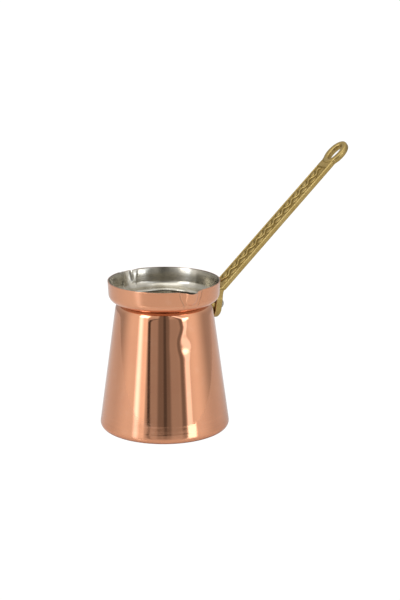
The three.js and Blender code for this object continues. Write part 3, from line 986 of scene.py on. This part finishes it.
@dataclass
class Handle:
    """The cast brass handle: tang, bend, shank with a raised vine, and hanging eye."""

    layout: HandleLayout
    width: float = 10.5
    thickness: float = 3.4
    tang_width: float = 16.0
    foot_thickness: float = 3.7
    foot_corner: float = 5.0
    flare: float = 7.0
    boss_radius: float = 2.9
    rivet_spacing: float = 8.4
    rivet_below_top: float = 10.1
    eye_width: float = 14.6
    eye_thickness: float = 4.2
    eye_boxiness: float = 0.6
    tang_edge: float = 1.75
    eye_hole_length: float = 12.4
    eye_hole_width: float = 6.2
    eye_tip_wall: float = 3.8
    panel_start: float = 1.5
    panel_end: float = 107.0
    panel_depth: float = 0.45
    border_width: float = 0.75
    vine_pitch: float = 9.0
    vine_swing: float = 1.35
    vine_girth: float = 0.62
    vine_gap: float = 2.2
    vine_lift: float = 0.15
    vine_points: int = 80
    leaf_size: tuple[float, float, float] = (2.9, 1.25, 0.62)
    leaf_shift: float = 0.4
    leaf_out: float = 2.45
    leaf_lift: float = 0.05
    boss_gap: float = 0.1
    boss_sunk: float = 1.0
    relief_reach: int = 14
    voxel: float = 0.24
    smoothing: int = 8

    def build(self) -> Piece:
        """Make the parts, fuse them as one casting and put it in place.

        Returns:
            The brass piece.
        """
        shank = self.shank()
        parts = [shank, self.tang(), self.eye(), self.vine(), *self.leaves(), *self.bosses()]
        casting = join(parts)
        fuse(casting, self.voxel, self.smoothing)
        casting.matrix_world = self.layout.matrix()
        apply_place(casting)
        casting.name = casting.data.name = "cast_brass_handle"
        store_relief(casting, self.relief_reach)
        smooth(casting, CAST_ANGLE)
        return casting

    def shank(self) -> Piece:
        """The straight flat bar, with a sunk panel between two raised borders on its upper face.

        Returns:
            The bar, lying along X.
        """
        bar = self.block("shank", 0.0, self.layout.shank_length, (self.panel_start, self.panel_end))
        select_faces(bar, lambda f: f.normal.z > 0.9 and self.panel_start < f.center.x / MM < self.panel_end)
        with editing():
            bpy.ops.mesh.inset(thickness=self.border_width * MM, depth=0)
            bpy.ops.mesh.inset(thickness=0.35 * MM, depth=-self.panel_depth * MM)
        bevel(bar, 0.55, 3, 40)
        return bar

    def block(self, name: str, start: float, length: float, cuts: Sequence[float]) -> Piece:
        """A plain block along X, as wide and as thick as the shank.

        Args:
            name: The new object's name.
            start: Where it starts along X.
            length: How long it is.
            cuts: Where it is cut across into more faces.

        Returns:
            The block.
        """
        clear_selection()
        bpy.ops.mesh.primitive_cube_add(size=1)
        made = named(name)
        made.scale = (length * MM, self.width * MM, self.thickness * MM)
        made.location = ((start + length / 2) * MM, 0, 0)
        apply_place(made)
        with editing():
            for at in cuts:
                bpy.ops.mesh.select_all(action="SELECT")
                bpy.ops.mesh.bisect(plane_co=(at * MM, 0, 0), plane_no=(1, 0, 0))
        return made

    def tang(self) -> Piece:
        """The tang and the bend: a block lofted up from its foot and turned into the shank.

        Returns:
            The tang, in shank coordinates.
        """
        corner = self.foot_corner
        lay = self.layout
        height = (lay.top - lay.foot).length
        sections: list[tuple[Vector, Vector, float]] = []
        for share in (0.05, 0.15, 0.3, 0.5, 0.75, 1.0):
            inset = corner * (1 - math.sqrt(1 - (1 - share) ** 2))
            thick = self.foot_thickness + (lay.tang_thickness - self.foot_thickness) * share
            back = lay.foot + lay.up * corner * share
            sections.append((back, back + lay.out * thick, self.tang_width - 2 * inset))
        raised = lay.raised
        underside = lay.start - raised * self.thickness / 2
        flare_thick = (underside - lay.top).dot(lay.out)
        for share in (0.0, 0.2, 0.4, 0.6, 0.8):
            eased = share * share * (3 - 2 * share)
            wide = self.tang_width + (self.width - self.tang_width) * eased
            thick = lay.tang_thickness + (flare_thick - lay.tang_thickness) * share**2
            back = lay.foot + lay.up * (height - self.flare * (1 - share))
            sections.append((back, back + lay.out * thick, wide))
        sections.append((lay.top - lay.up * 1.0, underside - lay.along * 0.6, self.width))
        sections.append((lay.top - lay.up * 0.25 + lay.out * 0.35, underside - lay.along * 0.25, self.width))
        sections.append((lay.top + lay.out * 1.3 + lay.up * 0.1, underside + lay.along * 0.1, self.width))
        upper = lay.start + raised * self.thickness / 2
        sections.append((upper - lay.along * 1.2, underside + lay.along * 0.6, self.width))
        sections.append((upper + lay.along * 1.6, underside + lay.along * 2.2, self.width))
        return self.lofted("tang", sections, self.tang_edge)

    def lofted(self, name: str, sections: Sequence[tuple[Vector, Vector, float]], edge: float) -> Piece:
        """Extrude a rectangle from section to section.

        Args:
            name: The new object's name.
            sections: Back point, front point and width of each.
            edge: Radius of the long edges.

        Returns:
            The lofted block, in shank coordinates.
        """
        clear_selection()
        bpy.ops.mesh.primitive_plane_add(size=2 * MM)
        block = named(name)
        with editing():
            self.fit_section(block, sections[0])
            for section in sections[1:]:
                bpy.ops.mesh.extrude_region_move(TRANSFORM_OT_translate={"value": (0, 0, 0)})
                self.fit_section(block, section)
            bpy.ops.mesh.select_all(action="SELECT")
            bpy.ops.mesh.normals_make_consistent(inside=False)
        bevel(block, edge, 4, 55)
        return block

    def fit_section(self, block: Piece, section: tuple[Vector, Vector, float]) -> None:
        """Put the four corners of the selected face on one section.

        Args:
            block: The block, in edit mode.
            section: Back point, front point and width.
        """
        back, front, wide = section
        face = next(f for f in bmesh.from_edit_mesh(block.data).faces if f.select)
        ends = ((back, -1), (back, 1), (front, 1), (front, -1))
        for vertex, (end, side) in zip(face.verts, ends):
            vertex.co = self.layout.in_shank_frame(Vector((end.x, side * wide / 2, end.z))) * MM
        bmesh.update_edit_mesh(block.data)

    def eye(self) -> Piece:
        """The hanging eye: a rounded ring drawn out round a long hole, on the end of the shank.

        Returns:
            The eye, lying along X beyond the shank.
        """
        clear_selection()
        radii = {"major_radius": 2 * MM, "minor_radius": 1 * MM}
        bpy.ops.mesh.primitive_torus_add(major_segments=120, minor_segments=28, **radii)
        ring = named("eye")
        hole = (self.eye_hole_length / 2, self.eye_hole_width / 2)
        outside = (hole[0] + self.eye_tip_wall, self.eye_width / 2)
        middle = self.layout.shank_length + self.layout.eye_length - outside[0] - 0.45

        def draw_out(place: Vector) -> Vector:
            """Take a point of the plain ring to the drawn-out one.

            Args:
                place: The point, in millimetres.

            Returns:
                Where it goes.
            """
            angle = math.atan2(place.y, place.x)
            across, lift = math.hypot(place.x, place.y) - 2, place.z
            inner = Vector((hole[0] * math.cos(angle), hole[1] * math.sin(angle), 0))
            outer = Vector((outside[0] * math.cos(angle), outside[1] * math.sin(angle), 0))
            squared = [math.copysign(abs(side) ** self.eye_boxiness, side) for side in (across, lift)]
            spot = inner + (outer - inner) * (squared[0] + 1) / 2
            return Vector((middle + spot.x, spot.y, squared[1] * self.eye_thickness / 2))

        move_vertices(ring, draw_out)
        return join([ring, self.eye_neck(middle - self.layout.shank_length - hole[0])])

    def eye_neck(self, reach: float) -> Piece:
        """The plain web that widens from the shank's end to the eye.

        Args:
            reach: How far past the shank's end it runs.

        Returns:
            The web.
        """
        start = self.layout.shank_length
        before = start - self.panel_end - 0.6
        cuts = [start + (reach * share) for share in (0.25, 0.5, 0.75)]
        web = self.block("eye_neck", start - before, reach + before, cuts)

        def widen(place: Vector) -> Vector:
            """Swell the web towards the eye."""
            share = max(0.0, (place.x - start) / reach)
            return Vector((place.x, place.y * (1 + 0.17 * share * share), place.z))

        move_vertices(web, widen)
        bevel(web, 0.9, 4, 40)
        return web

    def vine_at(self, along: float) -> float:
        """How far across the shank the vine's stem lies at a distance along it."""
        return self.vine_swing * math.sin(math.tau * (along - self.panel_start) / self.vine_pitch)

    @property
    def panel_floor(self) -> float:
        """Height of the sunk panel above the shank's centre."""
        return self.thickness / 2 - self.panel_depth

    def vine(self) -> Piece:
        """The vine's stem, a wave of round section along the panel.

        Returns:
            The stem.
        """
        clear_selection()
        bpy.ops.curve.primitive_nurbs_path_add(radius=MM)
        stem = bpy.context.object
        stem.data.splines.clear()
        spline = stem.data.splines.new("NURBS")
        first, last = self.panel_start + self.vine_gap, self.panel_end - self.vine_gap
        count = self.vine_points
        spline.points.add(count)
        for i, point in enumerate(spline.points):
            along = first + (last - first) * i / count
            point.co = (along * MM, self.vine_at(along) * MM, (self.panel_floor + self.vine_lift) * MM, 1)
        spline.use_endpoint_u = True
        stem.data.bevel_depth = self.vine_girth * MM
        stem.data.bevel_resolution = 3
        stem.data.resolution_u = 3
        stem.data.use_fill_caps = True
        pick(stem)
        bpy.ops.object.convert(target="MESH")
        return named("vine_stem")

    def leaf(self) -> Piece:
        """One pointed leaf with a sunk midrib, at the origin and pointing along X.

        Returns:
            The leaf.
        """
        clear_selection()
        bpy.ops.mesh.primitive_uv_sphere_add(segments=20, ring_count=12, radius=1 * MM)
        blade = named("leaf")
        blade.scale = self.leaf_size
        half = self.leaf_size[0]
        apply_place(blade)

        def taper(place: Vector) -> Vector:
            """Draw the blade to a point and sink its midrib.

            Args:
                place: A point of the blade, in millimetres.

            Returns:
                Where it goes.
            """
            share = (place.x + half) / (2 * half)
            narrow = 0.55 + 0.75 * math.sin(math.pi * min(1.0, share * 0.9 + 0.1)) - 0.5 * share**3
            rib = 0.14 * math.exp(-((place.y / 0.32) ** 2)) * (1 - share * 0.5)
            lift = place.z - (rib if place.z > 0 else 0.0)
            return Vector((place.x, place.y * narrow + 0.25 * (share - 0.5) ** 2, lift))

        move_vertices(blade, taper)
        return blade

    def leaves(self) -> list[Piece]:
        """Copies of the leaf in each hollow of the vine, on alternate sides.

        Returns:
            The leaves in their places.
        """
        pattern = self.leaf()
        placed = []
        half = self.vine_pitch / 2
        count = int((self.panel_end - self.panel_start - 4) / half)
        for i in range(count):
            along = self.panel_start + half * (i + 0.5) + self.leaf_shift
            side = -1 if i % 2 == 0 else 1
            turn, size = (30, 0.95) if side > 0 else (12, 1.0)
            blade = copy_of(pattern, "leaf_copy")
            blade.rotation_euler = (0, 0, math.radians(side * turn))
            blade.scale = (size, size, size * 0.9)
            lift = self.panel_floor + self.leaf_lift
            blade.location = (along * MM, side * self.leaf_out * MM, lift * MM)
            placed.append(apply_place(blade))
        bpy.data.objects.remove(pattern)
        return placed

    def bosses(self) -> list[Piece]:
        """The two bosses behind the tang that seat on the pot's wall.

        Returns:
            The bosses, in shank coordinates.
        """
        lay = self.layout
        made = []
        for side in Side:
            seat = self.rivet_seat(side)
            wall = math.sqrt(lay.shape.cone_radius(seat.z) ** 2 - seat.y**2)
            depth = seat.x - self.boss_sunk - wall - self.boss_gap
            clear_selection()
            sizes = {"radius": self.boss_radius * MM, "depth": depth * MM}
            bpy.ops.mesh.primitive_cylinder_add(vertices=40, **sizes)
            boss = named("boss")
            turn = Matrix.Rotation(math.radians(90), 4, "Y")
            middle = Vector((wall + self.boss_gap + depth / 2, seat.y, seat.z))
            boss.matrix_world = lay.matrix().inverted() @ Matrix.Translation(middle * MM) @ turn
            made.append(apply_place(boss))
        return made

    def rivet_seat(self, side: Side) -> Vector:
        """The middle of a rivet's seat on the tang's outer face.

        Args:
            side: Which of the two rivets it is.

        Returns:
            Its place in the pot's frame.
        """
        lay = self.layout
        place = lay.top - lay.up * self.rivet_below_top + lay.out * lay.tang_thickness
        place.y = side.value * self.rivet_spacing / 2
        return place

    def dress(self, piece: Piece) -> None:
        """Give the casting its brass and hang it on the frame."""
        piece.data.materials.append(CastBrass().make())
        ride_root(piece, Slot.BRASS, "handle")


def select_faces(piece: Piece, wanted: Callable[[bpy.types.MeshPolygon], bool]) -> None:
    """Select only the faces that a test picks.

    Args:
        piece: The piece, in object mode.
        wanted: The test.
    """
    for vertex in piece.data.vertices:
        vertex.select = False
    for edge in piece.data.edges:
        edge.select = False
    for face in piece.data.polygons:
        face.select = wanted(face)


# ---------------------------------------------------------------- the rivets


@dataclass
class Rivet:
    """A steel rivet: domed head outside, level shank, and a tail hammered round inside the pot."""

    handle: Handle
    head_radius: float = 3.4
    head_height: float = 3.0
    shank_radius: float = 1.8
    tail_radius: float = 2.8
    tail_height: float = 1.3
    wall_and_lining: float = 1.47
    head_sunk: float = 0.25
    tail_sunk: float = 0.3
    steps: int = 48
    dome_steps: int = 12
    dome_edge: float = 0.4
    voxel: float = 0.16
    smoothing: int = 4

    def build(self, side: Side) -> Piece:
        """Spin the head, the shank and the tail, and fuse them.

        Args:
            side: Which of the two rivets it is.

        Returns:
            The rivet in its place.
        """
        seat = self.handle.rivet_seat(side)
        lay = self.handle.layout
        wall = math.sqrt(lay.shape.cone_radius(seat.z) ** 2 - seat.y**2) - self.wall_and_lining
        exit_point = Vector((wall, seat.y, seat.z))
        round_wall = math.atan2(seat.y, wall)
        lean = lay.shape.cone_normal
        level = math.cos(lean)
        inward = -Vector((level * math.cos(round_wall), level * math.sin(round_wall), math.sin(lean)))
        head_at, tail_at = seat - lay.out * self.head_sunk, exit_point - inward * self.tail_sunk
        head = self.dome("head", self.head_radius, self.head_height, head_at, lay.out, 11 + side.value)
        tail = self.dome("tail", self.tail_radius, self.tail_height, tail_at, inward, 23 + side.value)
        shank = self.bar("shank", exit_point, seat)
        rivet = join([head, tail, shank])
        fuse(rivet, self.voxel, self.smoothing)
        smooth(rivet, CAST_ANGLE)
        rivet.name = rivet.data.name = "steel_rivet_" + side.name.lower()
        return rivet

    def dome(self, name: str, radius: float, height: float, place: Vector, way: Vector, seed: int) -> Piece:
        """Spin a dome with a small foot edge and dent it with the hammer.

        Args:
            name: The new object's name.
            radius: The dome's radius.
            height: The dome's height.
            place: The middle of its flat side.
            way: The way it looks.
            seed: Picks its hammer marks.

        Returns:
            The dome in its place.
        """
        edge, last = -self.dome_edge, self.dome_steps
        profile = [(0.0, edge), (radius, edge), (radius, 0.0)]
        for i in range(1, last + 1):
            angle = math.pi / 2 * i / last
            profile.append((radius * math.cos(angle) ** 0.85 if i < last else 0.0, height * math.sin(angle)))
        piece = spin_profile(name, profile, self.steps)
        offset = Vector((seed * 3.1, seed * 1.7, 0))

        def hammered(spot: Vector) -> Vector:
            """Flatten small facets into the dome."""
            dents = noise.noise(spot * 0.62 + offset) * 0.22 + noise.noise(spot * 1.4 + offset) * 0.07
            return spot * (1 + dents * 0.2 * max(0.0, spot.z / height))

        move_vertices(piece, hammered)
        piece.matrix_world = Matrix.Translation(place * MM) @ facing(way)
        return apply_place(piece)

    def bar(self, name: str, start: Vector, end: Vector) -> Piece:
        """A round bar between two places.

        Args:
            name: The new object's name.
            start: One end.
            end: The other end.

        Returns:
            The bar.
        """
        way = end - start
        clear_selection()
        sizes = {"radius": self.shank_radius * MM, "depth": way.length * MM}
        bpy.ops.mesh.primitive_cylinder_add(vertices=32, **sizes)
        piece = named(name)
        middle = Matrix.Translation((start + end) / 2 * MM)
        piece.matrix_world = middle @ facing(way)
        return apply_place(piece)

    def dress(self, piece: Piece, side: Side) -> None:
        """Give the rivet its steel and hang it on the frame."""
        piece.data.materials.append(HammeredSteel().make())
        ride_root(piece, Slot.STEEL, "rivet_" + side.name.lower())


# ---------------------------------------------------------------- the studio


@dataclass(frozen=True)
class Card:
    """A card or strip light that stands round the pot and is seen in its metal.

    Its turn is the angle round the pot from the camera, to the right if positive, in degrees.
    Its lean is how far that angle grows with each degree away from the pot's own level.
    """

    name: str
    turn: float
    width: float
    soft: float
    brightness: float
    cool: float = 0.0
    low: float = -9.0
    high: float = 55.0
    fade: float = 2.0
    lean: float = 0.0

    @property
    def colour(self) -> Colour:
        """The card's light, from neutral to cool."""
        warm = (1.0, 0.985, 0.965), (0.85, 1.0, 1.22)
        return (*(self.brightness * (a + (b - a) * self.cool) for a, b in zip(*warm)), 1.0)


@dataclass(frozen=True)
class Lamp:
    """A square area light, in millimetres and watts, and what it looks at."""

    name: str
    place: Point3
    aim: Point3
    size: float
    power: float

    def light(self) -> None:
        """Hang the lamp in the scene."""
        data = bpy.data.lights.new(self.name, "AREA")
        data.size = self.size * MM
        data.energy = self.power
        lamp = bpy.data.objects.new(self.name, data)
        bpy.context.scene.collection.objects.link(lamp)
        lamp.location = Vector(self.place) * MM
        lamp.rotation_euler = (Vector(self.place) - Vector(self.aim)).to_track_quat("Z", "Y").to_euler()


@dataclass
class Studio:
    """The table, the lights, the room that the metal reflects, and the camera."""

    target: tuple[float, float, float] = (18.66, -12.27, 81.29)
    distance: float = 961.1
    camera_azimuth: float = -123.33
    camera_elevation: float = 14.472
    lens: float = 92.75
    table_radius: float = 440.0
    table_behind: float = 265.0
    table_left: float = 100.0
    room_level: float = 0.41
    ceiling_level: float = 0.75
    seen_white: float = 1.05
    lamps: tuple[Lamp, ...] = (
        Lamp("overhead", (-150, -100, 900), (0, 0, 40), 600, 1.3),
        Lamp("left_fill", (-950, -150, 620), (0, 0, 50), 420, 1.6),
    )
    cards: tuple[Card, ...] = (
        Card("studio_floor", 0.0, 362.0, 1.0, 0.71, 0.0, -90.0, -9.0),
        Card("floor_glow", -56.0, 12.0, 16.0, 1.35, 0.3, -40.0, -9.0),
        Card("left_glow", -65.0, 50.0, 38.0, 0.95),
        Card("left_shade", -44.0, 16.0, 4.0, 1.2),
        Card("left_strip", -52.0, 9.0, 8.0, 2.4, 0.7),
        Card("black_flag", -32.4, 6.0, 3.0, 0.08, lean=1.2),
        Card("camera_side", 0.5, 25.0, 6.0, 0.21),
        Card("dark_figure", 2.5, 6.0, 3.0, 0.10),
        Card("right_glow", 66.0, 40.0, 40.0, 1.0),
        Card("right_flag", 38.0, 8.0, 5.0, 0.22, lean=-0.3),
        Card("right_strip", 50.0, 10.0, 4.0, 1.6, 0.5, lean=-0.5),
        Card("right_window", 51.0, 16.0, 5.0, 4.2, 0.4, 2.8, 16.0),
    )

    def build(self) -> None:
        """Set the stage."""
        self.camera()
        self.table()
        self.room()
        for lamp in self.lamps:
            lamp.light()
        view = bpy.context.scene.view_settings
        view.view_transform = "Standard"
        view.look = "None"

    def camera(self) -> None:
        """Put the camera at its place, looking at its target."""
        data = bpy.data.cameras.new("camera")
        data.lens = self.lens
        data.sensor_width = 36.0
        data.clip_start = 0.01
        camera = bpy.data.objects.new("camera", data)
        bpy.context.scene.collection.objects.link(camera)
        rise, turn = math.radians(self.camera_elevation), math.radians(self.camera_azimuth)
        back = Vector((math.cos(rise) * math.cos(turn), math.cos(rise) * math.sin(turn), math.sin(rise)))
        camera.location = (Vector(self.target) + back * self.distance) * MM
        camera.rotation_euler = back.to_track_quat("Z", "Y").to_euler()
        bpy.context.scene.camera = camera

    def table(self) -> None:
        """A white table top, so bright that the camera sees no shadow on it."""
        clear_selection()
        turn = math.radians(self.camera_azimuth)
        behind = Vector((-math.cos(turn), -math.sin(turn), 0)) * self.table_behind
        centre = (behind + Vector((math.sin(turn), -math.cos(turn), 0)) * self.table_left) * MM
        round_top = {"radius": self.table_radius * MM, "fill_type": "NGON", "location": centre}
        bpy.ops.mesh.primitive_circle_add(vertices=128, **round_top)
        table = apply_place(named("table_top"))
        s = Shader("white_table")
        s.feed(s.bsdf, {"Base Color": (0.82, 0.82, 0.82, 1), "Roughness": 0.08})
        output = s.tree.nodes["Material Output"]
        self.whiten(s, s.bsdf.outputs[0], "ShaderNodeEmission", output.inputs["Surface"])
        table.data.materials.append(s.material)

    def whiten(self, s: Shader, real: Socket, kind: str, output: Socket) -> None:
        """Show plain white to the camera itself, and the real shader to everything else.

        Args:
            s: The shader that is being made.
            real: The shader that light and metal meet.
            kind: The kind of node that gives the white.
            output: Where the result goes.
        """
        white = s.feed(s.node(kind), {"Color": (1, 1, 1, 1), "Strength": self.seen_white})
        to_camera = s.node("ShaderNodeLightPath").outputs["Is Camera Ray"]
        mixed = s.feed(s.node("ShaderNodeMixShader"), {0: to_camera, 1: real, 2: white.outputs[0]})
        s.link(mixed.outputs[0], output)

    def room(self) -> None:
        """The room round the table, with its cards, which the metal reflects; white to the camera itself."""
        world = bpy.data.worlds.new("room")
        bpy.context.scene.world = world
        world.use_nodes = True
        world.node_tree.nodes.clear()
        s = Shader.over(world.node_tree)
        way = s.node("ShaderNodeTexCoord").outputs["Generated"]
        x, y, up = s.feed(s.node("ShaderNodeSeparateXYZ"), {0: way}).outputs
        azimuth, rise = s.maths("ARCTAN2", y, x), s.maths("ARCSINE", up)
        levels = math.radians(-4), math.radians(55), self.room_level, self.ceiling_level
        light = s.ranged(rise, *levels)
        for card in self.cards:
            light = s.blended(self.card_share(s, card, azimuth, rise), light, card.colour)
            light.node.label = card.name
        reflected = s.feed(s.node("ShaderNodeBackground"), {"Color": light})
        output = s.node("ShaderNodeOutputWorld").inputs["Surface"]
        self.whiten(s, reflected.outputs[0], "ShaderNodeBackground", output)

    def card_share(self, s: Shader, card: Card, azimuth: Socket, rise: Socket) -> Socket:
        """Work out how much of a card lies in each direction.

        Args:
            s: The shader that is being made.
            card: The card.
            azimuth: The direction's angle round the pot, in radians.
            rise: Its angle above the pot's level, in radians.

        Returns:
            The card's share, from 0 to 1.
        """
        turn = math.radians(self.camera_azimuth + card.turn)
        leant = s.maths("ADD", s.maths("MULTIPLY", s.maths("ABSOLUTE", rise), card.lean), turn)
        ends = {0: s.maths("SUBTRACT", azimuth, leant), 1: math.pi, 2: -math.pi}
        away = s.feed(s.node("ShaderNodeMath", operation="WRAP"), ends).outputs[0]
        half, soft = math.radians(card.width / 2), math.radians(card.soft / 2)
        beside = s.ranged(s.maths("ABSOLUTE", away), half - soft, half + soft, 1.0, 0.0)
        foot, top = (math.radians(card.low + d) for d in (-1, 1))
        above = s.ranged(rise, foot, top, 0.0, 1.0)
        foot, top = (math.radians(card.high + d) for d in (-card.fade, card.fade))
        below = s.ranged(rise, foot, top, 1.0, 0.0)
        return s.maths("MULTIPLY", s.maths("MULTIPLY", beside, above), below)


# ---------------------------------------------------------------- putting it together


def main() -> None:
    """Build the pot piece by piece, then its studio."""
    logging.basicConfig(level=logging.INFO, format="%(message)s")
    shape = PotShape()
    body = CopperBody(shape)
    body.dress(body.build())
    lining = TinLining(shape)
    lining.dress(lining.build())
    handle = Handle(HandleLayout(shape))
    handle.dress(handle.build())
    rivet = Rivet(handle)
    for side in Side:
        rivet.dress(rivet.build(side), side)
    Studio().build()


if __name__ == "__main__":
    main()
